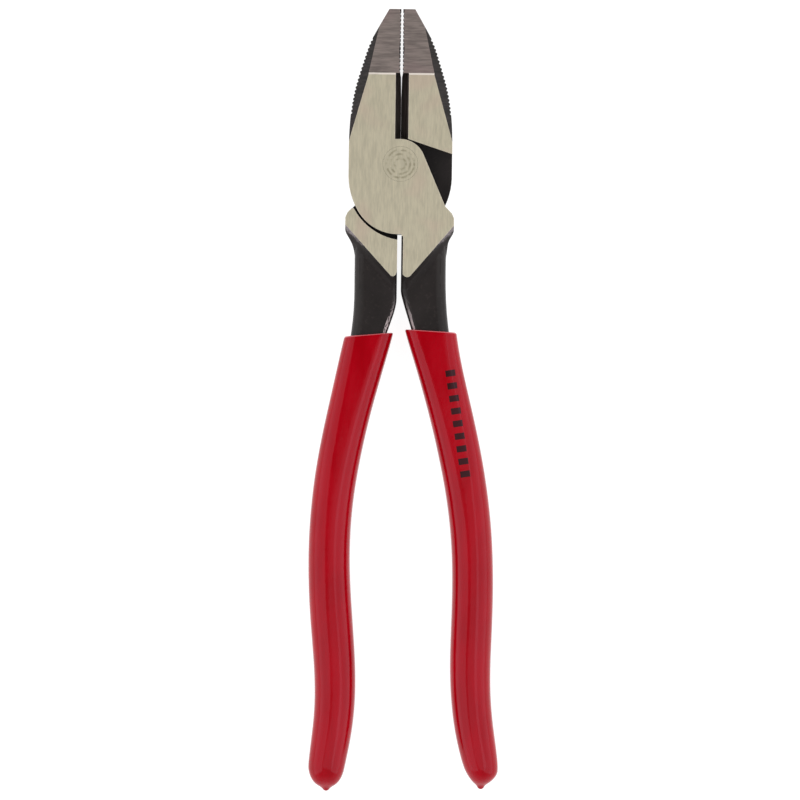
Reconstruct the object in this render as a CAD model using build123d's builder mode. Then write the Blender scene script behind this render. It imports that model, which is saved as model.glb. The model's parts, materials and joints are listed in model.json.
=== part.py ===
"""Lineman pliers: two forged halves that cross in a lap joint, a pivot rivet and two dipped grips.

The pliers lie flat with their lower face on z = 0. The pivot is the Z axis, the line where the
jaws meet is +Y, and millimetres are used throughout. Both halves have the same head: the one
behind is the one in front turned half a turn about the Y axis. Only the handles differ.
"""
import os
from math import atan2, cos, degrees, radians, sin, sqrt, tan

from build123d import *

os.makedirs("parts", exist_ok=True)

# Head
HEAD_T = 15.4                  # face to face at the joint
MID = HEAD_T / 2               # height of the lap
LAP_GAP = 0.08                 # between the two laps
HEAD_R = 15.76                 # half the width of the head
TIP_Y = 47.2                   # end of the jaws
TIP_X = 3.95                   # half the width of the tip
BEVEL_END = (-8.95, 38.35)     # where the straight side of the tip ends
CHEEK = [(-11.7, 31.0), (-14.05, 23.0), (-15.4, 14.0), (-HEAD_R, 4.5)]   # outer edge below that
CHEEK_TOP = (-0.47, -0.88)     # the edge's direction at BEVEL_END
LAP_SIDE_Y = -4.2              # end of the head's straight side
LAP_SIDE = (-15.05, -9.0)      # on the curve from there to the lap's lower corner
LAP_FOOT_CENTRE = (-0.5, -7.2)
LAP_FOOT_R = 14.2              # rounded lower end of the lap
FOOT_START = 207               # angle of the lap's lower corner on that arc
FOOT_END = 274.5               # the arc's other end, inside the shoulder
SHOULDER_POINT = (13.0, -16.5) # where the head's outline closes, inside the shoulder
HANDLE_GAP = 0.62              # half the gap between the shoulders

# Joint
HUB_R = 7.6                    # rounded top of the lap
HUB_CLEAR = 0.35               # between the hub and the other jaw
STOP_ANGLE = 23.4              # normal of the lap's stop edge
STOP_LENGTH = 17.15
JAW_FOOT_ANGLE = 18.2          # slope of the jaw's lower edge
POCKET_CENTRE = (-2.2, -4.8)
POCKET_R = 18.5                # hollow in the shoulder that the other lap turns in
POCKET_TOP_Y = -13.65
RIVET_R = 4.5
RIVET_HEAD_R = 5.3
RIVET_CLEAR = 0.05

# Jaws
NOSE_Y = 27.7                  # crease where the nose starts to taper
NOSE_DROP = 2.0                # taper on each face, crease to tip
CREASE_W = 0.55
CREASE_DROP = 0.22
JAW_GAP_TIP = 0.29             # half the gap at the tip, with the handles at rest
JAW_GAP_HEEL = 0.38
KNIFE_GAP = 0.01               # half the gap between the closed cutting edges
KNIFE_MEET_Y = 20.0            # from here outward the cutting edges draw apart
KNIFE_OPEN = 0.15              # half the gap at their outer end
KNIFE_END_Y = 26.6
KNIFE_BEVEL = 1.4              # 45 degree bevel behind the cutting edge
SLOT_NEAR = 1.75               # wall of the cutter slot at the face on the lap's side
SLOT_FAR = 2.3                 # the same at the other face
SIDE_BEVEL_OFFSET = 17.0       # side bevel's distance from the pivot, at the face
SIDE_BEVEL_TURN = 15.8         # its angle to the Y axis
SIDE_BEVEL_RUN = 0.70          # inward run for each millimetre of height
SIDE_BEVEL_DEPTH = 6           # the cut reaches this far below the face
SIDE_BEVEL_START = 10          # and starts this far below the pivot
SIDE_BEVEL_L = 70
SIDE_CLEAR = 30                # past the head's outer edge
SIDE_TOOTH = 0.48              # depth of the teeth on the outer edges
SIDE_TOOTH_PITCH = 1.22
SIDE_TOOTH_COUNT = 20
GRIP_TOOTH = 0.5                # depth of the crossed teeth on the gripping faces
GRIP_TOOTH_PITCH = 1.24

# Handles
SHOULDER_X = 16.55
SHANK_DROP = 2.0               # the forged shank lies this far below the ground face
STEP_ANGLE = 52                # slope from the shank up to the ground face
STEP_BLEND_R = 2.2
STEP_START = (16.2, -19.0)     # outer end of the ground face's slanted edge
RIGHT_STEP_TURN = 40.4         # that edge's angle to the Y axis
LEFT_STEP_TURN = 42.4
OUTER_EDGE_R = 3.0
RIGHT_INNER_R = 1.85           # rounding of the inner edges
LEFT_INNER_R = 1.3
INNER_BEVEL_W = 0.5
INNER_BEVEL_H = 3.5
INNER_RUN = 2.4                # from the straight inner edge to the first point below it
TANG_END_Y = -180
BLANK_MARGIN = 35              # how far past each face the blank starts
BOX_SIDE = 500                 # wider than the pliers are long
STEP_RISE = 30
STEP_REACH = 170
SHOULDER_LOW = 0.8             # half height at the foot of the shoulder's slope
SHOULDER_TOP_Y = -12           # level where shoulder and shank start, inside the lap
SHOULDER_END_Y = -19.9         # end of the shoulder's straight side
WAIST = (15.2, -22.9)          # on the curve from there in to the shank
WAIST_LOW = (0.3, -26.2)       # lower on the curve; x from the shank's outer edge
WAIST_END = (-0.1, -30)        # its end, the same way
CORNER = (15.9, -14.9)         # on the shoulder's rounded upper corner
CORNER_END_Y = -16.4
INNER_BEVEL_Y = -21.9          # lower end of the draft on the shoulder's inner edge
INNER_BEVEL_L = 16

# Handle edges as (x, y), each seen with its own half in front: the inner and the outer side
RIGHT_INNER = [(1.05, -40.7), (3.94, -50.2), (9.8, -69), (14.8, -87.5), (18.1, -106),
               (19.6, -124), (19.3, -151), (22.6, TANG_END_Y)]
RIGHT_OUTER = [(14.25, -33), (14.75, -45), (15.9, -54), (18.7, -69), (23.1, -87.5), (26.1, -106),
               (27.4, -124), (27.0, -151), (29.0, TANG_END_Y)]
LEFT_INNER = [(0.9, -43.3), (3.06, -50.2), (8.5, -69), (12.9, -87.5), (15.4, -106),
              (16.0, -124), (14.0, -151), (15.9, TANG_END_Y)]
LEFT_OUTER = [(13.55, -33), (13.7, -45), (14.7, -54), (17.4, -69), (21.1, -87.5), (23.4, -106),
              (24.0, -124), (22.0, -151), (22.8, TANG_END_Y)]

# Grips as (y, inner x, outer x, thickness, corner radius), from the rim to the end
RIGHT_GRIP = [(-50.6, 1.75, 17.8, 14.0, 3.6), (-60, 4.95, 19.35, 14.3, 4.0),
              (-78, 10.15, 23.65, 14.5, 4.6), (-97, 14.5, 27.45, 14.4, 5.2),
              (-118, 17.15, 29.7, 14.2, 5.6), (-142, 17.2, 29.75, 13.9, 5.6),
              (-161, 17.4, 29.6, 13.6, 5.4), (-176, 19.55, 31.3, 13.2, 5.2),
              (-184, 21.9, 32.15, 12.4, 4.7)]
RIGHT_END = [RIGHT_GRIP[-1], (-186.5, 23.3, 31.3, 10.4, 3.8), (-188.2, 24.7, 29.5, 6.8, 2.3),
             (-189.0, 25.8, 28.1, 2.8, 1.0)]
LEFT_GRIP = [(-51.9, 1.25, 16.35, 14.0, 3.6), (-60, 3.75, 18.05, 14.3, 4.0),
             (-78, 8.5, 21.85, 14.5, 4.6), (-97, 12.25, 25.1, 14.4, 5.2),
             (-118, 13.85, 26.5, 14.2, 5.6), (-142, 12.5, 25.4, 13.9, 5.6),
             (-161, 11.6, 24.05, 13.6, 5.4), (-176, 13.05, 25.0, 13.2, 5.2),
             (-184, 14.6, 25.75, 12.4, 4.7)]
LEFT_END = [LEFT_GRIP[-1], (-187.0, 15.5, 25.0, 10.4, 3.8), (-189.1, 17.0, 23.5, 6.8, 2.3),
            (-190.1, 18.8, 21.6, 2.8, 1.0)]
RIGHT_LEAN = -0.05             # the rims' slope: they fall towards the outer side
LEFT_LEAN = -0.09
RIM_LIP_R = 0.5
NIB_R = 1.2

STEEL_BLACK = Color(0.16, 0.15, 0.16)
STEEL_GROUND = Color(0.70, 0.68, 0.62)
VINYL_RED = Color(0.75, 0.03, 0.07)


def polar(r, angle):
    """Point at radius r from the pivot, in the plane of the head."""
    return (r * cos(radians(angle)), r * sin(radians(angle)))


def stop_corner():
    """Lower end of the lap's straight stop edge."""
    x, y = polar(HUB_R, STOP_ANGLE)
    return (x + STOP_LENGTH * sin(radians(STOP_ANGLE)), y - STOP_LENGTH * cos(radians(STOP_ANGLE)))


def cheek_curve():
    """Outer edge of the jaw, from the end of the tip bevel to the widest part of the head."""
    return Spline(BEVEL_END, *CHEEK, tangents=(CHEEK_TOP, (0, -1)), tangent_scalars=(1, 1),
                  mode=Mode.PRIVATE)


def head_outline():
    """Jaw on the left and lap below it, ending inside the shoulder on the right."""
    with BuildSketch() as outline:
        with BuildLine():
            foot = CenterArc(LAP_FOOT_CENTRE, LAP_FOOT_R, FOOT_START, FOOT_END - FOOT_START)
            hub = CenterArc((0, 0), HUB_R, STOP_ANGLE, 90 - STOP_ANGLE)
            Polyline(foot @ 1, SHOULDER_POINT, stop_corner(), hub @ 0)
            Polyline(hub @ 1, (-KNIFE_GAP, HUB_R), (-KNIFE_GAP, KNIFE_MEET_Y),
                     (-KNIFE_OPEN, KNIFE_END_Y), (-JAW_GAP_HEEL, NOSE_Y), (-JAW_GAP_TIP, TIP_Y),
                     (-TIP_X, TIP_Y), BEVEL_END)
            add(cheek_curve())
            side = Line(CHEEK[-1], (-HEAD_R, LAP_SIDE_Y))
            ThreePointArc(side @ 1, LAP_SIDE, foot @ 0)
        make_face()
    return outline.sketch


def lap_pocket():
    """Room for the other half's lap: under the jaw's lower edge and above the shoulder."""
    edge_x, edge_y = polar(HUB_R + HUB_CLEAR, 90 + JAW_FOOT_ANGLE)
    far_x = -1.5 * HEAD_R
    far_y = edge_y + (far_x - edge_x) * tan(radians(JAW_FOOT_ANGLE))
    with BuildSketch(Plane.XY.offset(MID + LAP_GAP / 2)) as pocket:
        with Locations(POCKET_CENTRE):
            Circle(POCKET_R)
        with BuildLine():
            Polyline((edge_x, edge_y), (far_x, far_y), (far_x, TIP_Y), (0, TIP_Y), (0, HUB_R / 2),
                     close=True)
        make_face(mode=Mode.SUBTRACT)
        Circle(HUB_R + HUB_CLEAR)
        with Locations((HEAD_R, POCKET_TOP_Y)):
            Rectangle(HEAD_R, HEAD_R, align=(Align.CENTER, Align.MIN))
    return pocket.sketch


def handle_outline(inner, outer):
    """Shank and tang seen from above, far enough below the head to be cut to height."""
    with BuildSketch(Plane.XY.offset(-BLANK_MARGIN)) as outline:
        with BuildLine():
            inner_side = Line((HANDLE_GAP, SHOULDER_TOP_Y), (HANDLE_GAP, inner[0][1] + INNER_RUN))
            Spline(inner_side @ 1, *inner, tangents=((0, -1), (0.1, -1)), tangent_scalars=(1, 1))
            Line(inner[-1], outer[-1])
            outer_side = Line((outer[0][0], SHOULDER_TOP_Y), outer[0])
            Spline(*outer, tangents=((0, -1), (0.1, -1)), tangent_scalars=(1, 1))
            Line(inner_side @ 0, outer_side @ 0)
        make_face()
    return outline.sketch


def shoulder_outline(outer):
    """The bulge outside the shank, under the stop edge."""
    shank_x = outer[0][0]
    root_x = shank_x - OUTER_EDGE_R - 1
    end_y = WAIST_END[1]
    with BuildSketch(Plane.XY.offset(-BLANK_MARGIN)) as outline:
        with BuildLine():
            side = Polyline((root_x, SHOULDER_TOP_Y), (SHOULDER_X, SHOULDER_TOP_Y),
                            (SHOULDER_X, SHOULDER_END_Y))
            waist = Spline(side @ 1, WAIST, (shank_x + WAIST_LOW[0], WAIST_LOW[1]),
                           (shank_x + WAIST_END[0], end_y), tangents=((0, -1), (0, -1)),
                           tangent_scalars=(1, 1))
            Polyline(waist @ 1, (root_x, end_y), side @ 0)
        make_face()
    return outline.sketch


def step_profile(low_half, step_turn):
    """Half height across the slanted edge: it falls from past the head to the low part."""
    turn = radians(step_turn)
    across = Plane(origin=(*STEP_START, MID), x_dir=(cos(turn), -sin(turn), 0),
                   z_dir=(sin(turn), cos(turn), 0))
    slope = tan(radians(STEP_ANGLE))
    foot = ((MID - low_half) / slope, low_half)
    top = (-STEP_RISE, MID + STEP_RISE * slope)
    with BuildSketch(across.offset(-STEP_REACH)) as profile:
        with BuildLine():
            FilletPolyline(top, foot, (STEP_REACH, low_half), radius=STEP_BLEND_R)
            mirror(about=Plane.XZ)
            Line(top, (top[0], -top[1]))
            Line((STEP_REACH, low_half), (STEP_REACH, -low_half))
        make_face()
    return profile.sketch


def corner_trim():
    """The corner between the stop edge and the shoulder."""
    x, y = stop_corner()
    far_x = SHOULDER_X + 4
    top_y = LAP_SIDE_Y
    with BuildSketch() as corner:
        with BuildLine():
            Polyline((x, y), CORNER, (SHOULDER_X, CORNER_END_Y), (far_x, CORNER_END_Y),
                     (far_x, top_y), (x - (top_y - y) * tan(radians(STOP_ANGLE)), top_y),
                     close=True)
        make_face()
    return corner.sketch


def profile(plane, points, side):
    """A closed outline whose second coordinate is a height above (or below) the lap."""
    with BuildSketch(plane) as outline:
        with BuildLine():
            Polyline(*[(u, MID + side * height) for u, height in points], close=True)
        make_face()
    return outline.sketch


def nose_taper(side):
    """Ground away above the nose, with a small ridge at the crease."""
    past = TIP_Y + 2
    slope = (NOSE_DROP - CREASE_DROP) / (TIP_Y - NOSE_Y)
    points = [(NOSE_Y - CREASE_W, MID), (NOSE_Y, MID - CREASE_DROP),
              (past, MID - CREASE_DROP - slope * (past - NOSE_Y)), (past, MID + 1),
              (NOSE_Y - CREASE_W, MID + 1)]
    return profile(Plane.YZ.offset(-HEAD_R - 1), points, side)


def side_bevel(side):
    """The slanted band between the face and the toothed edge."""
    turn = radians(SIDE_BEVEL_TURN)
    along = (sin(turn), cos(turn), 0)
    plane = Plane(origin=(0, 0, 0), x_dir=(-cos(turn), sin(turn), 0), z_dir=along)
    low = MID - SIDE_BEVEL_DEPTH
    points = [(SIDE_BEVEL_OFFSET - SIDE_BEVEL_RUN, MID + 1),
              (SIDE_BEVEL_OFFSET + SIDE_BEVEL_RUN * SIDE_BEVEL_DEPTH, low), (SIDE_CLEAR, low),
              (SIDE_CLEAR, MID + 1)]
    return profile(plane.offset(-SIDE_BEVEL_START), points, side)


def knife_relief(side, wall):
    """Beside the cutting edge: a 45 degree bevel, then the steep wall of the slot."""
    points = [(-KNIFE_GAP, 0), (-KNIFE_GAP - KNIFE_BEVEL, KNIFE_BEVEL), (-wall, MID),
              (-wall, MID + 1), (2, MID + 1), (2, 0)]
    return profile(Plane.XZ.offset(-NOSE_Y), points, side)


def inner_bevel():
    """Draft along the inner edge of the shoulder, on the lap's side."""
    points = [(HANDLE_GAP, MID - INNER_BEVEL_H), (HANDLE_GAP + INNER_BEVEL_W, MID),
              (HANDLE_GAP + INNER_BEVEL_W, MID + 1), (-1, MID + 1), (-1, MID - INNER_BEVEL_H)]
    return profile(Plane.XZ.offset(-INNER_BEVEL_Y), points, 1)


def side_teeth():
    """V notches square to the outer edge of the jaw."""
    cheek = cheek_curve()
    with BuildSketch() as teeth:
        for i in range(SIDE_TOOTH_COUNT):
            along = (i + 0.5) * SIDE_TOOTH_PITCH / cheek.length
            lean = degrees(atan2(cheek.tangent_at(along).Y, cheek.tangent_at(along).X))
            with Locations(Location(cheek.position_at(along), (0, 0, lean))):
                Rectangle(SIDE_TOOTH * sqrt(2), SIDE_TOOTH * sqrt(2), rotation=45)
    return teeth.sketch


def cross_teeth():
    """V notches across the gripping face, seen from above."""
    count = int((TIP_Y - NOSE_Y) / GRIP_TOOTH_PITCH)
    with BuildSketch() as teeth:
        for i in range(count):
            y = NOSE_Y + (i + 0.7) * GRIP_TOOTH_PITCH
            x = -JAW_GAP_HEEL + (JAW_GAP_HEEL - JAW_GAP_TIP) * (y - NOSE_Y) / (TIP_Y - NOSE_Y)
            with Locations((x, y)):
                Rectangle(GRIP_TOOTH * sqrt(2), GRIP_TOOTH * sqrt(2), rotation=45)
    return teeth.sketch


def long_teeth():
    """V notches along the gripping face, seen from its heel."""
    heel = (-JAW_GAP_HEEL, NOSE_Y, MID)
    along = (JAW_GAP_HEEL - JAW_GAP_TIP, TIP_Y - NOSE_Y, 0)
    count = int(HEAD_T / GRIP_TOOTH_PITCH)
    with BuildSketch(Plane(origin=heel, x_dir=(0, 0, 1), z_dir=along)) as teeth:
        with GridLocations(GRIP_TOOTH_PITCH, 1, count, 1):
            Rectangle(GRIP_TOOTH * sqrt(2), GRIP_TOOTH * sqrt(2), rotation=45)
    return teeth.sketch


def forged_half(inner, outer, step_turn, inner_r):
    """One forging, seen with its jaw on the left, its lap on top and its handle on the right."""
    with BuildPart() as shoulder:
        extrude(shoulder_outline(outer), amount=HEAD_T + 2 * BLANK_MARGIN)
        extrude(step_profile(SHOULDER_LOW, step_turn), amount=2 * STEP_REACH, mode=Mode.INTERSECT)

    with BuildPart() as half:
        # Shank and tang, forged with round edges; then both faces are ground flat
        extrude(handle_outline(inner, outer), amount=HEAD_T + 2 * BLANK_MARGIN)
        shank_step = step_profile(MID - SHANK_DROP, step_turn)
        extrude(shank_step, amount=2 * STEP_REACH, mode=Mode.INTERSECT)
        long_edges = half.edges().sort_by(SortBy.LENGTH)[-4:].sort_by(Axis.X)
        fillet(long_edges[2:], radius=OUTER_EDGE_R)
        long_edges = half.edges().filter_by(lambda e: e.length > 100).sort_by(Axis.X)
        fillet(long_edges[:2], radius=inner_r)
        add(shoulder.part)
        Box(BOX_SIDE, BOX_SIDE, HEAD_T, align=(Align.CENTER, Align.CENTER, Align.MIN),
            mode=Mode.INTERSECT)
        extrude(head_outline(), amount=HEAD_T)
        extrude(lap_pocket(), amount=-HEAD_T, mode=Mode.SUBTRACT)
        extrude(corner_trim(), amount=HEAD_T, mode=Mode.SUBTRACT)
        extrude(inner_bevel(), amount=INNER_BEVEL_L, mode=Mode.SUBTRACT)
        for side in (1, -1):
            extrude(nose_taper(side), amount=HEAD_R + 3, mode=Mode.SUBTRACT)
            extrude(side_bevel(side), amount=SIDE_BEVEL_L, mode=Mode.SUBTRACT)
        extrude(knife_relief(1, SLOT_NEAR), amount=NOSE_Y - HUB_R, mode=Mode.SUBTRACT)
        extrude(knife_relief(-1, SLOT_FAR), amount=NOSE_Y - HUB_R + 1, mode=Mode.SUBTRACT)
        extrude(side_teeth(), amount=HEAD_T, mode=Mode.SUBTRACT)
        extrude(cross_teeth(), amount=HEAD_T, mode=Mode.SUBTRACT)
        extrude(long_teeth(), amount=TIP_Y, mode=Mode.SUBTRACT)
    return half.part


def grip_section(station, lean=0):
    """The grip's outline across the handle at a station, in a plane that leans along X."""
    y, x_in, x_out, thick, corner = station
    plane = Plane(origin=((x_in + x_out) / 2, y, MID), x_dir=(1, lean, 0), z_dir=(lean, -1, 0))
    with BuildSketch(plane) as section:
        RectangleRounded(x_out - x_in, thick, corner)
    return section.sketch


def dipped_grip(stations, end, tang, lean):
    """Vinyl dipped over a tang, seen with the handle on the right."""
    rim, *body = stations
    nib_y, nib_in, nib_out, *_ = end[-1]
    with BuildPart() as grip:
        loft([grip_section(rim, lean)] + [grip_section(station) for station in body])
        fillet(grip.faces().sort_by(Axis.Y)[-1].edges(), radius=RIM_LIP_R)
        loft([grip_section(station) for station in end])
        with Locations(((nib_in + nib_out) / 2, nib_y, MID)):
            Sphere(NIB_R)
        add(tang, mode=Mode.SUBTRACT)
    return grip.part


HALF_TURN = Location((0, 0, HEAD_T), (0, 180, 0))   # puts the other half behind
front_forging = forged_half(RIGHT_INNER, RIGHT_OUTER, RIGHT_STEP_TURN, RIGHT_INNER_R)
back_forging = forged_half(LEFT_INNER, LEFT_OUTER, LEFT_STEP_TURN, LEFT_INNER_R)

with BuildPart() as front_half:
    add(front_forging)
    with Locations((0, 0, HEAD_T)):
        CounterSinkHole(RIVET_R + RIVET_CLEAR, RIVET_HEAD_R + RIVET_CLEAR, counter_sink_angle=90)
front_half.part.label = "front_half"
front_half.part.color = STEEL_GROUND

with BuildPart() as back_half:
    add(back_forging.moved(HALF_TURN))
    with Locations(HALF_TURN):
        with Locations((0, 0, HEAD_T)):
            CounterSinkHole(RIVET_R, RIVET_HEAD_R, counter_sink_angle=90)
back_half.part.label = "back_half"
back_half.part.color = STEEL_BLACK

with BuildPart() as pivot_rivet:
    Cylinder(RIVET_R, HEAD_T, align=(Align.CENTER, Align.CENTER, Align.MIN))
    head_h = RIVET_HEAD_R - RIVET_R
    Cone(RIVET_HEAD_R, RIVET_R, head_h, align=(Align.CENTER, Align.CENTER, Align.MIN))
    with Locations((0, 0, HEAD_T - head_h)):
        Cone(RIVET_R, RIVET_HEAD_R, head_h, align=(Align.CENTER, Align.CENTER, Align.MIN))
pivot_rivet.part.label = "pivot_rivet"
pivot_rivet.part.color = STEEL_BLACK

with BuildPart() as right_grip:
    add(dipped_grip(RIGHT_GRIP, RIGHT_END, front_forging, RIGHT_LEAN))
right_grip.part.label = "right_grip"
right_grip.part.color = VINYL_RED

with BuildPart() as left_grip:
    add(dipped_grip(LEFT_GRIP, LEFT_END, back_forging, LEFT_LEAN).moved(HALF_TURN))
left_grip.part.label = "left_grip"
left_grip.part.color = VINYL_RED

for piece in (front_half, back_half, pivot_rivet, right_grip, left_grip):
    export_step(piece.part, f"parts/{piece.part.label}.step")
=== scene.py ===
"""The looks of the lineman pliers: ground and blackened steel, dipped vinyl grips and a soft studio.

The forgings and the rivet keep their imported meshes. Each grip is rebuilt as a smooth skin over its
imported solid. Lengths are in metres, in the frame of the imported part: the pivot is the Z axis, and the
jaws point to +Y. Inside a material, lengths are in millimetres.
"""
import json
from math import cos, pi, radians, sin

import bmesh
import bpy
from mathutils import Matrix, Vector, noise
from mathutils.bvhtree import BVHTree

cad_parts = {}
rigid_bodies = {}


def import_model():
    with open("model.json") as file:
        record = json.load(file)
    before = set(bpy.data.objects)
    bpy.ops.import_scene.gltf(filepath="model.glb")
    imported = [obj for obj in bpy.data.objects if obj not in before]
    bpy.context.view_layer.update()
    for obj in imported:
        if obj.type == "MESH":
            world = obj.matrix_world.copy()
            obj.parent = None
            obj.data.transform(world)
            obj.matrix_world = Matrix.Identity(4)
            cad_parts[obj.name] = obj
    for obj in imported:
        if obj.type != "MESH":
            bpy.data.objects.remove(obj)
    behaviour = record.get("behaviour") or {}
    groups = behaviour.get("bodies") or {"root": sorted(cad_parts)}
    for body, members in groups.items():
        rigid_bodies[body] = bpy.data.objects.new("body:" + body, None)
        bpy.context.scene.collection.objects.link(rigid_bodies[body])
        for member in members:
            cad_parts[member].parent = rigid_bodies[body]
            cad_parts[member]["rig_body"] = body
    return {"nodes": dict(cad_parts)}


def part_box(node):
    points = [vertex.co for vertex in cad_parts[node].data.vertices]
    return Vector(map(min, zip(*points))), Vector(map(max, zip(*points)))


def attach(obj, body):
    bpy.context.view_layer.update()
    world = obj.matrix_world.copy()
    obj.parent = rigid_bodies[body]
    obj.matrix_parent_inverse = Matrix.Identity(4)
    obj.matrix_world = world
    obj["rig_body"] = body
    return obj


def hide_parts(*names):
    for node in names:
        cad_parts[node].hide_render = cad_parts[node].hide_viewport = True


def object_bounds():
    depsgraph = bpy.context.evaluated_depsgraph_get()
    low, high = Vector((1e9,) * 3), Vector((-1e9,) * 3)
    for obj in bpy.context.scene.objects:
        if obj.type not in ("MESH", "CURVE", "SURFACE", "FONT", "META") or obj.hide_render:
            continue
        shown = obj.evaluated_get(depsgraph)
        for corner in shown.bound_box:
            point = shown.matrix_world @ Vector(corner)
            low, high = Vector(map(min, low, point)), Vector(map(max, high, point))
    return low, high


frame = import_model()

MM = 0.001
cad_low, cad_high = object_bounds()

# ---------------------------------------------------------------- sizes, in metres

TOP_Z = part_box("front_half")[1].z          # the upper ground face
TOUCH = 0.01 * MM                          # a face this close to a level counts as on it
CREASE_Y = 27.7 * MM                       # where the nose starts to slope down
CREASE_W = 0.55 * MM                       # width of the ridge before it
SLOT_HALF = 2.35 * MM                      # half the width of the slot round the cutting edges
HUB_TOP_Y = 7.55 * MM                      # where the slot starts
BAND_END_Y = 2.0 * MM                      # lower end of the slanted bands on the sides
FLANK_START_Y = -16.0 * MM                 # the slopes from the ground faces down to the shanks
FLANK_END_Y = -38.0 * MM
FLANK_DROP = 2.4 * MM
SHEEN_START_Y = -40.0 * MM                   # a painted reflection on the shanks' inner edges grows from here to the grips
SHEEN_FULL_Y = -50.0 * MM
HIGHLIGHT_END_Y = -24.0 * MM                    # a painted highlight shows on the blackened edges above this
HIGHLIGHT_FULL_Y = -22.0 * MM

# How upright a face's normal is, from 0 for a wall to 1 for a level face
LEVEL = 0.999
NOSE_UPRIGHT = 0.99
BAND_UPRIGHT = (0.5, 0.65)
RIDGE_UPRIGHT = (0.85, 0.99)
FLANK_UPRIGHT = (0.45, 0.9)
SHEEN_UPRIGHT = (0.78, 0.97)
HOLLOW_TILT = (0.03, 0.5)                  # the level part of a normal in the hollow under a slope
HOLLOW_TOWARDS_GRIP = 0.6                  # the least share of that tilt along -Y

RIVET_EDGE_R = 6.0 * MM                    # the rivet is ground flush, so nothing inside this is rounded
RIVET_RINGS = (1.7 * MM, 3.0 * MM, 4.2 * MM)
RIVET_RING_WIDTH = 0.55 * MM
RIVET_RING_DEPTH = 0.8

RING_POINTS = 56                           # points round a grip's skin
RING_STEP = 3.5 * MM                       # from one ring of a grip to the next
REACH = 40 * MM                            # from a grip's centreline to well outside it
LIP_R = 0.45 * MM                          # rounding of the vinyl where it ends on the steel
OUTER_LIP_R = 0.9 * MM                     # the same on the handle's outer side
LIP_STEPS = 6
LIP_DEPTH = 3.2 * MM                       # how far the hidden end of the vinyl goes into the steel
RIM_PASSES = 3                             # to settle the rim's middle, which its lean moves
LEAN_RUN = 14 * MM                         # over this length the rings turn from the rim's lean to level
TIP_RUN = 9 * MM                           # the rings are closer together over this length at the tip
TIP_STEPS = 16
DIP_WAVE = 0.05 * MM                       # unevenness of the dipped skin
DIP_WAVE_LENGTH = 15 * MM
RIM_LEAN = {"left_grip": 0.09, "right_grip": -0.05}    # rise of the rim per unit of X

PRINT_START = Vector((15.9, -62.5)) * MM   # the printed row of bars on the right grip
PRINT_END = Vector((21.1, -95.0)) * MM
PRINT_BARS = 9
PRINT_HALF_WIDTH = 1.5 * MM

CAMERA_TURN = radians(0.75)                # the pliers lie a little askew under the camera
CAMERA_LENS = 400                          # mm, on the usual 36 mm sensor
CAMERA_SENSOR = 36
CAMERA_REACH = (0.05, 30)                  # nearest and farthest it sees
VIEW_WIDTH = 244 * MM
VIEW_CENTRE = Vector((0.82, -71.8, 7.7)) * MM

FLOOR_R = 4.0
FLOOR_SIDES = 96
FLOOR_GAP = 0.02 * MM
FLOOR_GLOW = 0.92

SOFTBOX_TOP = (0.26, 1.05)                 # X and Z of the side lights' upper and lower edges
SOFTBOX_LOW = (1.0, 0.12)
SOFTBOX_LENGTH = 1.7
SOFTBOX_RADIANCE = 1.0
OVERHEAD_Z = 1.45
OVERHEAD_WIDTH = 0.9
OVERHEAD_LENGTH = 0.8
OVERHEAD_EDGE_Y = -0.102
OVERHEAD_TURN = radians(45)
OVERHEAD_RADIANCE = 0.65

# The world's light, as (from, to, light at from, light at to) along a direction's Z and Y
WALLS = (0.15, 0.97, 0.9, 0.06)
CEILING = (-0.045, -0.015, 0.45, 0.06)


# ---------------------------------------------------------------- node helpers

BEVEL_SAMPLES = 6
EDGE_TURN = (0.02, 0.16)                   # how far a rounded edge turns the normal, at its ends


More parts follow.
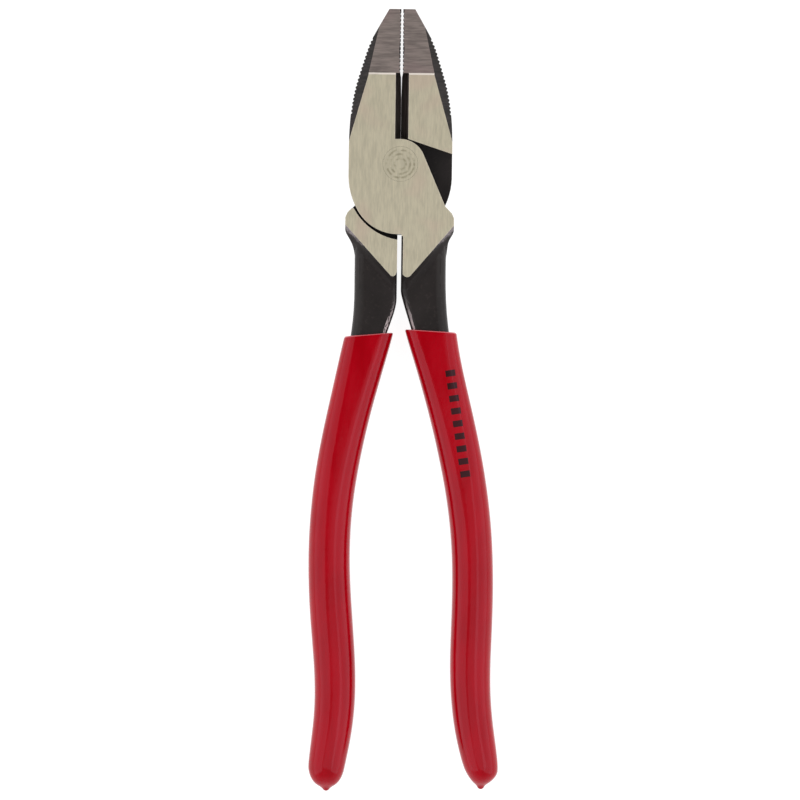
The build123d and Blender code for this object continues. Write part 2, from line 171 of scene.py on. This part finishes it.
class Graph:
    """A material's node tree, with short calls for the nodes that the finishes use."""

    def __init__(self, name):
        self.material = bpy.data.materials.new(name)
        self.material.use_nodes = True
        self.tree = self.material.node_tree
        self.shader = self.tree.nodes["Principled BSDF"]
        texture = self.add("ShaderNodeTexCoord")
        self.place = self.vector("SCALE", texture.outputs["Object"], scale=1 / MM)
        self.axes = self.add("ShaderNodeSeparateXYZ", Vector=self.place)

    def add(self, kind, **inputs):
        node = self.tree.nodes.new(kind)
        for name, value in inputs.items():
            self.feed(node.inputs[name.replace("_", " ")], value)
        return node

    def feed(self, socket, value):
        if isinstance(value, bpy.types.NodeSocket):
            self.tree.links.new(value, socket)
        elif value is not None:
            socket.default_value = value

    def math(self, operation, first, second=None):
        node = self.tree.nodes.new("ShaderNodeMath")
        node.operation = operation
        for socket, value in zip(node.inputs, (first, second)):
            self.feed(socket, value)
        return node.outputs[0]

    def vector(self, operation, first, second=None, scale=None):
        node = self.tree.nodes.new("ShaderNodeVectorMath")
        node.operation = operation
        self.feed(node.inputs[0], first)
        if operation == "SCALE":
            self.feed(node.inputs["Scale"], scale)
        elif second is not None:
            self.feed(node.inputs[1], second)
        return node.outputs["Value" if operation in ("DOT_PRODUCT", "LENGTH") else "Vector"]

    def noise(self, pitch, detail=3.0, offset=(0, 0, 0)):
        """Noise from 0 to 1 whose grain is about pitch millimetres long along each axis."""
        moved = self.vector("ADD", self.place, offset)
        scaled = self.vector("DIVIDE", moved, pitch)
        node = self.add("ShaderNodeTexNoise", Vector=scaled, Scale=1.0, Detail=detail, Roughness=0.55)
        return node.outputs["Fac"]

    def ramp(self, value, low, high, out_low=0.0, out_high=1.0, smooth=True):
        node = self.tree.nodes.new("ShaderNodeMapRange")
        node.interpolation_type = "SMOOTHSTEP" if smooth else "LINEAR"
        for name, number in (("Value", value), ("From Min", low), ("From Max", high),
                             ("To Min", out_low), ("To Max", out_high)):
            self.feed(node.inputs[name], number)
        return node.outputs["Result"]

    def mix(self, share, first, second):
        node = self.tree.nodes.new("ShaderNodeMix")
        node.data_type = "RGBA"
        for name, value in (("Factor_Float", share), ("A_Color", first), ("B_Color", second)):
            socket = next(s for s in node.inputs if s.identifier == name)
            self.feed(socket, (*value, 1) if isinstance(value, tuple) else value)
        return next(s for s in node.outputs if s.identifier == "Result_Color")

    def bump(self, height, distance, normal=None):
        node = self.add("ShaderNodeBump", Height=height, Distance=distance, Strength=1.0)
        self.feed(node.inputs["Normal"], normal)
        return node.outputs["Normal"]

    def rounded(self, radius):
        """(normal rounded off near edges, how much of an edge is near, from 0 to 1)."""
        bevel = self.add("ShaderNodeBevel", Radius=radius)
        bevel.samples = BEVEL_SAMPLES
        normal = self.add("ShaderNodeNewGeometry").outputs["Normal"]
        turn = self.math("SUBTRACT", 1.0, self.vector("DOT_PRODUCT", bevel.outputs["Normal"], normal))
        return bevel.outputs["Normal"], self.ramp(turn, *EDGE_TURN)

    def from_pivot(self):
        """Distance from the pivot's axis, in millimetres."""
        flat = self.add("ShaderNodeCombineXYZ", X=self.axes.outputs["X"], Y=self.axes.outputs["Y"])
        return self.vector("LENGTH", flat.outputs["Vector"])

    def set(self, **inputs):
        """Feeds the shader's inputs, with a colour given as three numbers."""
        for name, value in inputs.items():
            if isinstance(value, tuple) and len(value) == 3:
                value = (*value, 1)
            self.feed(self.shader.inputs[name.replace("_", " ")], value)


def srgb(text):
    """A colour such as "b5ae98" as three linear numbers."""
    parts = [int(text[i : i + 2], 16) / 255 for i in (0, 2, 4)]
    return tuple(p / 12.92 if p <= 0.04045 else ((p + 0.055) / 1.055) ** 2.4 for p in parts)


# ---------------------------------------------------------------- steel

GROUND = srgb("c0b8a1")
PINK_GROUND = srgb("c6b09f")
# painted highlight colour for rounded edges and the ridge
EDGE_LIGHT = srgb("f2e8de")
# the nose's ground steel, painted darker as the shade its slope towards the tip gets
NOSE = srgb("7f746f")
NOSE_PATCH = srgb("8b7876")
VINYL_DEEP = srgb("97000c")
VINYL_BRIGHT = srgb("a20010")


def brushed(name, base, edge_highlight, along, patches, contrast):
    """Ground steel with short brush lines along one axis, patches of a third colour and a painted
    highlight on rounded edges.
    """
    g = Graph(name)
    pitch = (0.4, 3.4, 3.4) if along == "Y" else (4.5, 0.42, 4.5)
    wide = (1.7, 6.0, 6.0) if along == "Y" else (6.0, 1.3, 6.0)
    lines = g.noise(pitch, detail=2.0)
    bands = g.noise(wide, detail=2.0, offset=(5.3, 1.7, 9.1))
    areas = g.ramp(g.noise((11.0, 9.0, 11.0), detail=1.0, offset=(31.0, 7.0, 2.0)), 0.5, 0.72)
    tone = g.math("ADD", g.math("MULTIPLY", lines, 0.5), g.math("MULTIPLY", bands, 0.5))
    darker = tuple((1 - contrast) * c for c in base)
    lighter = tuple((1 + contrast) * c for c in base)
    colour = g.mix(g.ramp(tone, 0.32, 0.68), darker, lighter)
    colour = g.mix(g.math("MULTIPLY", areas, 0.45), colour, patches)
    away = g.ramp(g.from_pivot(), RIVET_EDGE_R / MM, RIVET_EDGE_R / MM + 1)
    normal, edge = g.rounded(g.math("MULTIPLY", away, 0.26 * MM))
    # painted highlight: the rounded edges are lightened towards the highlight colour
    colour = g.mix(g.math("MULTIPLY", edge, 0.6), colour, edge_highlight)
    g.set(Base_Color=colour, Metallic=0.6, Anisotropic=0.4)
    g.set(Roughness=g.ramp(tone, 0.3, 0.7, 0.5, 0.4))
    g.set(Normal=g.bump(lines, 0.004 * MM, normal))
    turned = g.add("ShaderNodeVectorTransform", Vector=(0, 1, 0) if along == "Y" else (1, 0, 0))
    turned.vector_type = "VECTOR"
    turned.convert_from = "OBJECT"
    turned.convert_to = "WORLD"
    g.set(Tangent=turned.outputs["Vector"])
    return g


def ringed(g):
    """Darkens thin broken rings round the pivot."""
    distance = g.from_pivot()
    broken = g.ramp(g.noise((1.6, 1.6, 1.6), offset=(2.0, 6.0, 4.0)), 0.38, 0.62)
    rings = None
    for radius in RIVET_RINGS:
        away = g.math("ABSOLUTE", g.math("SUBTRACT", distance, radius / MM))
        ring = g.ramp(away, 0.0, RIVET_RING_WIDTH / MM, 1.0, 0.0)
        rings = ring if rings is None else g.math("MAXIMUM", rings, ring)
    rings = g.math("MULTIPLY", rings, g.math("MULTIPLY", broken, RIVET_RING_DEPTH))
    base = g.shader.inputs["Base Color"].links[0].from_socket
    g.set(Base_Color=g.mix(rings, base, srgb("8d866f")))


def black_oxide(name, specular):
    """Blackened forging: near black and warm, with fine grain, and a painted highlight along the head's
    rounded edges.
    """
    g = Graph(name)
    grain = g.noise((0.35, 0.35, 0.35), detail=4.0)
    cloud = g.noise((9.0, 14.0, 9.0), detail=2.0, offset=(3.0, 8.0, 1.0))
    speck = g.ramp(g.noise((1.1, 1.1, 1.1), detail=2.0, offset=(7.0, 1.0, 5.0)), 0.55, 0.75)
    colour = g.mix(g.ramp(cloud, 0.3, 0.7), srgb("150f0e"), srgb("1f1918"))
    colour = g.mix(g.math("MULTIPLY", speck, 0.5), colour, srgb("2e2725"))
    on_head = g.ramp(g.axes.outputs["Y"], HIGHLIGHT_END_Y / MM, HIGHLIGHT_FULL_Y / MM)
    normal, edge = g.rounded(g.math("MULTIPLY", on_head, 0.22 * MM))
    # painted highlight along the head's rounded edges, broken up by noise
    edge_highlight = g.math("MULTIPLY", edge, g.ramp(g.noise((1.2, 3.0, 3.0)), 0.42, 0.62, 0.1, 0.6))
    colour = g.mix(edge_highlight, colour, srgb("6f6660"))
    g.set(Base_Color=colour, Metallic=0.0, Specular_IOR_Level=specular)
    g.set(Roughness=g.ramp(grain, 0.3, 0.7, 0.32, 0.44))
    g.set(Normal=g.bump(grain, 0.012 * MM, normal))
    return g.material


def painted_inner_sheen():
    """The shanks' rounded inner edges: a painted reflection that turns pale towards the grips."""
    g = Graph("painted_inner_sheen")
    streak = g.noise((0.5, 4.0, 0.5), detail=2.0, offset=(1.0, 4.0, 8.0))
    sheen_share = g.ramp(g.axes.outputs["Y"], SHEEN_FULL_Y / MM, SHEEN_START_Y / MM, 1.0, 0.0)
    sheen_share = g.math("MULTIPLY", sheen_share, g.ramp(streak, 0.3, 0.6, 0.6, 1.0))
    # painted reflection: pale streaks on the dark edge, strongest near the grips
    g.set(Base_Color=g.mix(sheen_share, srgb("1c1615"), srgb("a8999a")), Specular_IOR_Level=0.4)
    g.set(Roughness=0.36)
    return g.material


def toothed_band():
    """The slanted band over the toothed edge: blackened, with fine milling lines across it."""
    g = Graph("toothed_band")
    grain = g.noise((0.4, 0.4, 0.4), detail=3.0)
    lines = g.noise((6.0, 0.3, 6.0), detail=1.0, offset=(2.0, 5.0, 7.0))
    colour = g.mix(g.ramp(lines, 0.35, 0.65), srgb("1b1817"), srgb("2e2928"))
    normal, edge = g.rounded(0.2 * MM)
    # painted highlight along the band's rounded edges
    colour = g.mix(g.math("MULTIPLY", edge, 0.25), colour, srgb("6a6059"))
    g.set(Base_Color=colour, Specular_IOR_Level=0.16)
    g.set(Roughness=g.ramp(grain, 0.3, 0.7, 0.55, 0.68))
    g.set(Normal=g.bump(lines, 0.02 * MM, normal))
    return g.material


def knife_steel():
    """The walls of the cutter slot: dark ground steel."""
    g = Graph("knife_steel")
    lines = g.noise((0.3, 9.0, 0.3), detail=2.0)
    colour = g.mix(g.ramp(lines, 0.3, 0.7), srgb("4a4340"), srgb("6b625e"))
    normal, _ = g.rounded(0.12 * MM)
    g.set(Base_Color=colour, Metallic=0.3)
    g.set(Roughness=g.ramp(lines, 0.3, 0.7, 0.5, 0.42))
    g.set(Normal=normal)
    return g.material


def step_flank():
    """The slope from the ground face down to the shank: black, with painted shade under the ground face's
    edge and a painted sheen band that widens outward.
    """
    g = Graph("step_flank")
    grain = g.noise((0.5, 0.5, 0.5), detail=3.0)
    out = g.math("ABSOLUTE", g.axes.outputs["X"])
    height = g.axes.outputs["Z"]
    drop = g.math("MINIMUM", height, g.math("SUBTRACT", TOP_Z / MM, height))
    width = g.ramp(out, 9.5, 16.0, 0.0, 1.5, smooth=False)
    ragged = g.math("ADD", width, g.ramp(g.noise((1.0, 1.0, 1.0)), 0.3, 0.7, -0.25, 0.25))
    # painted sheen: a pale band at the top of the slope that widens outward
    painted_sheen = g.ramp(g.math("SUBTRACT", drop, ragged), -1.0, 0.3, 1.0, 0.0)
    tone = g.mix(g.ramp(grain, 0.35, 0.65), srgb("70686b"), srgb("857d7f"))
    normal, _ = g.rounded(0.25 * MM)
    # painted shade: blackest just under the ground face's edge
    black = g.mix(g.ramp(drop, 0.25, 0.6), srgb("080606"), srgb("1a1413"))
    g.set(Base_Color=g.mix(painted_sheen, black, tone), Specular_IOR_Level=0.2)
    g.set(Roughness=g.ramp(grain, 0.3, 0.7, 0.4, 0.5))
    g.set(Normal=g.bump(grain, 0.012 * MM, normal))
    return g.material


# ---------------------------------------------------------------- vinyl

def vinyl(name, printed):
    """Glossy dipped vinyl with a faint orange peel, and on the right grip a printed row of plain bars."""
    g = Graph(name)
    swirl = g.noise((6.0, 20.0, 6.0), detail=2.0)
    speck = g.ramp(g.noise((0.5, 0.5, 0.5), detail=1.0, offset=(4.0, 4.0, 4.0)), 0.72, 0.8)
    colour = g.mix(g.ramp(swirl, 0.3, 0.7), VINYL_DEEP, VINYL_BRIGHT)
    colour = g.mix(g.math("MULTIPLY", speck, 0.25), colour, srgb("5c0008"))
    if printed:
        colour = g.mix(g.math("MULTIPLY", printed_bars(g), 0.93), colour, srgb("1a1414"))
    facing = g.add("ShaderNodeSeparateXYZ", Vector=g.add("ShaderNodeTexCoord").outputs["Normal"])
    lip = g.ramp(facing.outputs["Y"], 0.25, 0.6, 0.0, 0.6)      # painted highlight: pale pink on faces turned towards +Y, on the rounded rim
    colour = g.mix(lip, colour, srgb("dc7a80"))
    peel = g.noise((2.2, 3.2, 2.2), detail=2.0, offset=(1.0, 2.0, 3.0))
    g.set(Base_Color=colour, Specular_IOR_Level=0.26, Specular_Tint=(1.0, 0.78, 0.98))
    g.set(Roughness=g.ramp(swirl, 0.3, 0.7, 0.09, 0.15))
    g.set(Normal=g.bump(peel, 0.02 * MM))
    return g.material


def printed_bars(g):
    """1 on the bars, 0 elsewhere: plain bars of equal size along a line, on the side that faces up."""
    start, end = PRINT_START / MM, PRINT_END / MM
    run = end - start
    along_axis = (run.x / run.length, run.y / run.length, 0)
    across_axis = (run.y / run.length, -run.x / run.length, 0)
    from_start = g.vector("SUBTRACT", g.place, (start.x, start.y, 0))
    along = g.vector("DOT_PRODUCT", from_start, along_axis)
    across = g.vector("DOT_PRODUCT", from_start, across_axis)
    step = run.length / (PRINT_BARS - 0.5)
    phase = g.math("FRACT", g.math("DIVIDE", along, step))
    bar = g.math("LESS_THAN", phase, 0.5)
    from_middle = g.math("ABSOLUTE", g.math("SUBTRACT", along, run.length / 2))
    inside = g.math("LESS_THAN", from_middle, run.length / 2)
    narrow = g.math("LESS_THAN", g.math("ABSOLUTE", across), PRINT_HALF_WIDTH / MM)
    upper = g.math("GREATER_THAN", g.axes.outputs["Z"], TOP_Z / MM / 2)
    mask = bar
    for limit in (inside, narrow, upper):
        mask = g.math("MULTIPLY", mask, limit)
    return mask


# ---------------------------------------------------------------- grips

def surface_of(node):
    """A search tree over a CAD node's mesh."""
    mesh = frame["nodes"][node].data
    return BVHTree.FromPolygons([v.co for v in mesh.vertices], [p.vertices for p in mesh.polygons])


def centre_at(tree, y, near_x):
    """The middle of the grip's outer surface at y, at half height."""
    level = TOP_Z / 2
    ends = []
    for side in (-1, 1):
        start = Vector((near_x + side * REACH, y, level))
        ends.append(tree.ray_cast(start, Vector((-side, 0, 0)))[0].x)
    return Vector((sum(ends) / 2, y, level))


def ring_at(tree, centre, lean):
    """Points round the grip's outer surface, in the plane through centre that rises by lean along X."""
    ring = []
    for i in range(RING_POINTS):
        angle = 2 * pi * i / RING_POINTS
        out = Vector((cos(angle), lean * cos(angle), sin(angle)))
        ring.append(tree.ray_cast(centre + out * REACH, -out)[0])
    return ring


def drawn_in(ring, centre, amount, shift):
    """The ring moved by shift, with each point moved by amount towards the centre."""
    return [p + (centre - p).normalized() * amount + shift for p in ring]


def lip_ring(base, centre, side, turn):
    """A ring on the rounded lip, from the rim's level at turn 0 round to the side of the grip."""
    made = []
    for p in base:
        inward = (centre - p).normalized()
        outer = max(0.0, -inward.x * side)
        radius = LIP_R + (OUTER_LIP_R - LIP_R) * outer ** 2
        lift = LIP_R - radius * (1 - cos(turn))
        made.append(p + inward * radius * (1 - sin(turn)) + Vector((0, lift, 0)))
    return made


def waved(ring, centre, strength):
    """The ring with the slight unevenness of a dipped skin."""
    made = []
    for p in ring:
        wave = noise.noise(p / DIP_WAVE_LENGTH) * DIP_WAVE * strength
        made.append(p + (p - centre).normalized() * wave)
    return made


def grip_rings(node):
    """The rings of a grip's skin, from its hidden end in the steel to its tip."""
    tree = surface_of(node)
    low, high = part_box(node)
    lean = RIM_LEAN[node]
    side = 1 if low.x > 0 else -1
    inner_x = side * min(abs(low.x), abs(high.x))
    rim_y = high.y - LIP_R
    for _ in range(RIM_PASSES):
        centre = centre_at(tree, rim_y - 2 * LIP_R, inner_x)
        rim_y = high.y - abs(lean * (centre.x - inner_x))
    base_y = rim_y - LIP_R
    centre = centre_at(tree, base_y - LIP_R, inner_x)
    up = Vector((0, base_y - centre.y, 0))
    base = [p + up for p in ring_at(tree, centre, lean)]
    centre += up
    rings = [drawn_in(base, centre, LIP_DEPTH, Vector((0, LIP_R, 0)))]
    rings += [lip_ring(base, centre, side, pi / 2 * i / LIP_STEPS) for i in range(LIP_STEPS + 1)]
    body_end = low.y + TIP_RUN
    steps = round((base_y - body_end) / RING_STEP)
    levels = [base_y + (body_end - base_y) * i / steps for i in range(1, steps + 1)]
    levels += [low.y + TIP_RUN * cos(pi / 2 * i / TIP_STEPS) ** 2 for i in range(1, TIP_STEPS)]
    x = centre.x
    for y in levels:
        centre = centre_at(tree, y, x)
        x = centre.x
        flatness = max(0.0, 1 - (base_y - y) / LEAN_RUN)
        ring = ring_at(tree, centre, lean * flatness)
        rings.append(waved(ring, centre, min(1.0, (base_y - y) / LEAN_RUN, (y - low.y) / TIP_RUN)))
    return rings, Vector((x, low.y, TOP_Z / 2))


def dipped_grip(node, material):
    """A smooth closed skin over the grip's solid, with a lip on the steel and a drip nib at the end."""
    rings, tip = grip_rings(node)
    points = [p for ring in rings for p in ring] + [tip]
    faces = []
    for r in range(len(rings) - 1):
        for i in range(RING_POINTS):
            j = (i + 1) % RING_POINTS
            a, b = r * RING_POINTS, (r + 1) * RING_POINTS
            faces.append((a + i, b + i, b + j, a + j))
    last = (len(rings) - 1) * RING_POINTS
    for i in range(RING_POINTS):
        faces.append((last + i, len(points) - 1, last + (i + 1) % RING_POINTS))
    faces.append(tuple(range(RING_POINTS)))
    mesh = bpy.data.meshes.new(f"{node}_skin")
    mesh.from_pydata(points, [], faces)
    mesh.polygons.foreach_set("use_smooth", [True] * len(mesh.polygons))
    mesh.materials.append(material)
    bm = bmesh.new()
    bm.from_mesh(mesh)
    bmesh.ops.recalc_face_normals(bm, faces=bm.faces)
    bm.to_mesh(mesh)
    bm.free()
    skin = bpy.data.objects.new(f"{node}_skin", mesh)
    bpy.context.scene.collection.objects.link(skin)
    smooth = skin.modifiers.new("smooth", "SUBSURF")
    smooth.levels = smooth.render_levels = 1
    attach(skin, frame["nodes"][node]["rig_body"])
    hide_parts(node)


# ---------------------------------------------------------------- forgings

def within(value, limits):
    """Whether a value is between two limits."""
    return limits[0] < value < limits[1]


def finish_of(centre, normal):
    """The finish of a forging's face, from where it lies and how it is turned."""
    drop = min(centre.z, TOP_Z - centre.z)
    upright = abs(normal.z)
    if drop < TOUCH and upright > LEVEL:
        return "ground"
    if centre.y > CREASE_Y and upright > NOSE_UPRIGHT:
        return "nose"
    if HUB_TOP_Y < centre.y < CREASE_Y and abs(centre.x) < SLOT_HALF:
        return "knife"
    if centre.y > BAND_END_Y and within(upright, BAND_UPRIGHT):
        return "band"
    if CREASE_Y - CREASE_W < centre.y < CREASE_Y and within(upright, RIDGE_UPRIGHT):
        return "ridge"
    if FLANK_END_Y < centre.y < FLANK_START_Y:
        tilt = normal.xy.length
        if within(upright, FLANK_UPRIGHT) and drop < FLANK_DROP:
            return "flank"
        if within(tilt, HOLLOW_TILT) and normal.y < -HOLLOW_TOWARDS_GRIP * tilt:
            return "hollow"
    inward = normal.x * centre.x < 0
    if centre.y < SHEEN_START_Y and inward and within(upright, SHEEN_UPRIGHT):
        return "inner_sheen"
    return "oxide"


def dress_forging(node, finishes):
    """Gives each face of a forging its finish. The mesh itself stays as packed."""
    mesh = frame["nodes"][node].data
    names = list(finishes)
    mesh.materials.clear()
    for name in names:
        mesh.materials.append(finishes[name])
    for face in mesh.polygons:
        face.material_index = names.index(finish_of(face.center, face.normal))


# ---------------------------------------------------------------- studio

def panel(name, width, length, radiance):
    """A rectangular light that the camera doesn't see."""
    light = bpy.data.lights.new(name, "AREA")
    light.shape = "RECTANGLE"
    light.size = width
    light.size_y = length
    light.energy = radiance * pi * width * length
    lamp = bpy.data.objects.new(name, light)
    bpy.context.scene.collection.objects.link(lamp)
    lamp.visible_camera = False
    return lamp


def softbox(name, side):
    """A long light beside the part that faces it, from low over the floor to nearly overhead."""
    top = Vector((side * SOFTBOX_TOP[0], 0, SOFTBOX_TOP[1]))
    low = Vector((side * SOFTBOX_LOW[0], 0, SOFTBOX_LOW[1]))
    lamp = panel(name, (low - top).length, SOFTBOX_LENGTH, SOFTBOX_RADIANCE)
    across = (low - top).normalized()
    along = Vector((0, 1, 0))
    back = across.cross(along)
    middle = (top + low) / 2
    if back.dot(middle) < 0:
        across, back = -across, -back
    turn = Matrix((across, along, back)).transposed().to_4x4()
    lamp.matrix_world = Matrix.Translation(middle) @ turn


def overhead():
    """A dim panel over the grips. Its edge crosses above them on a slant, clear of the camera."""
    lamp = panel("overhead", OVERHEAD_WIDTH, OVERHEAD_LENGTH, OVERHEAD_RADIANCE)
    away = Vector((sin(OVERHEAD_TURN), -cos(OVERHEAD_TURN), 0)) * OVERHEAD_LENGTH / 2
    lamp.location = Vector((0, OVERHEAD_EDGE_Y, OVERHEAD_Z)) + away
    lamp.rotation_euler = (0, 0, OVERHEAD_TURN)


def studio_world():
    """Pale walls all round, and a ceiling that is dark over the head and dim over the grips' ends."""
    world = bpy.data.worlds.new("studio")
    bpy.context.scene.world = world
    world.use_nodes = True
    tree = world.node_tree
    background = tree.nodes["Background"]
    texture = tree.nodes.new("ShaderNodeTexCoord")
    split = tree.nodes.new("ShaderNodeSeparateXYZ")
    brighter = tree.nodes.new("ShaderNodeMath")
    brighter.operation = "MAXIMUM"
    tree.links.new(texture.outputs["Generated"], split.inputs["Vector"])
    for i, axis, limits in ((0, "Z", WALLS), (1, "Y", CEILING)):
        ramp = tree.nodes.new("ShaderNodeMapRange")
        ramp.interpolation_type = "SMOOTHSTEP"
        tree.links.new(split.outputs[axis], ramp.inputs["Value"])
        for name, number in zip(("From Min", "From Max", "To Min", "To Max"), limits):
            ramp.inputs[name].default_value = number
        tree.links.new(ramp.outputs["Result"], brighter.inputs[i])
    tree.links.new(brighter.outputs[0], background.inputs["Color"])
    background.inputs["Strength"].default_value = 1.0


def studio_floor():
    """A plain pale floor under the part."""
    bm = bmesh.new()
    bmesh.ops.create_circle(bm, cap_ends=True, segments=FLOOR_SIDES, radius=FLOOR_R)
    mesh = bpy.data.meshes.new("floor")
    bm.to_mesh(mesh)
    bm.free()
    floor = bpy.data.objects.new("floor", mesh)
    floor.location = (VIEW_CENTRE.x, VIEW_CENTRE.y, cad_low.z - FLOOR_GAP)
    bpy.context.scene.collection.objects.link(floor)
    g = Graph("pale_floor")
    g.set(Base_Color=(0.3, 0.3, 0.3), Roughness=0.9, Specular_IOR_Level=0.1)
    g.set(Emission_Color=(1.0, 1.0, 1.0), Emission_Strength=FLOOR_GLOW)
    mesh.materials.append(g.material)


def photo_camera():
    """A long lens straight above the part."""
    camera = bpy.data.cameras.new("camera")
    camera.lens = CAMERA_LENS
    camera.sensor_width = CAMERA_SENSOR
    camera.clip_start, camera.clip_end = CAMERA_REACH
    eye = bpy.data.objects.new("camera", camera)
    distance = VIEW_WIDTH * CAMERA_LENS / CAMERA_SENSOR
    eye.location = VIEW_CENTRE + Vector((0, 0, distance))
    eye.rotation_euler = (0, 0, CAMERA_TURN)
    bpy.context.scene.collection.objects.link(eye)
    bpy.context.scene.camera = eye


ground = brushed("ground_steel", GROUND, EDGE_LIGHT, "Y", PINK_GROUND, 0.12)
rivet = brushed("rivet_steel", GROUND, EDGE_LIGHT, "Y", PINK_GROUND, 0.12)
ringed(rivet)
finishes = {
    "ground": ground.material,
    "nose": brushed("nose_steel", NOSE, NOSE_PATCH, "X", NOSE_PATCH, 0.32).material,
    # the ridge before the crease: steel painted in the highlight colour all over
    "ridge": brushed("ridge_painted_highlight", EDGE_LIGHT, EDGE_LIGHT, "X", EDGE_LIGHT, 0.12).material,
    "flank": step_flank(),
    "band": toothed_band(),
    "knife": knife_steel(),
    "oxide": black_oxide("black_oxide", 0.26),
    "hollow": black_oxide("dull_oxide", 0.17),
    "inner_sheen": painted_inner_sheen(),
}
for node in ("front_half", "back_half"):
    dress_forging(node, finishes)
rivet_mesh = frame["nodes"]["pivot_rivet"].data
rivet_mesh.materials.clear()
rivet_mesh.materials.append(rivet.material)
dipped_grip("left_grip", vinyl("red_vinyl", printed=False))
dipped_grip("right_grip", vinyl("red_vinyl_printed", printed=True))

studio_world()
studio_floor()
softbox("softbox_left", -1)
softbox("softbox_right", 1)
overhead()
photo_camera()
bpy.context.scene.view_settings.view_transform = "Standard"
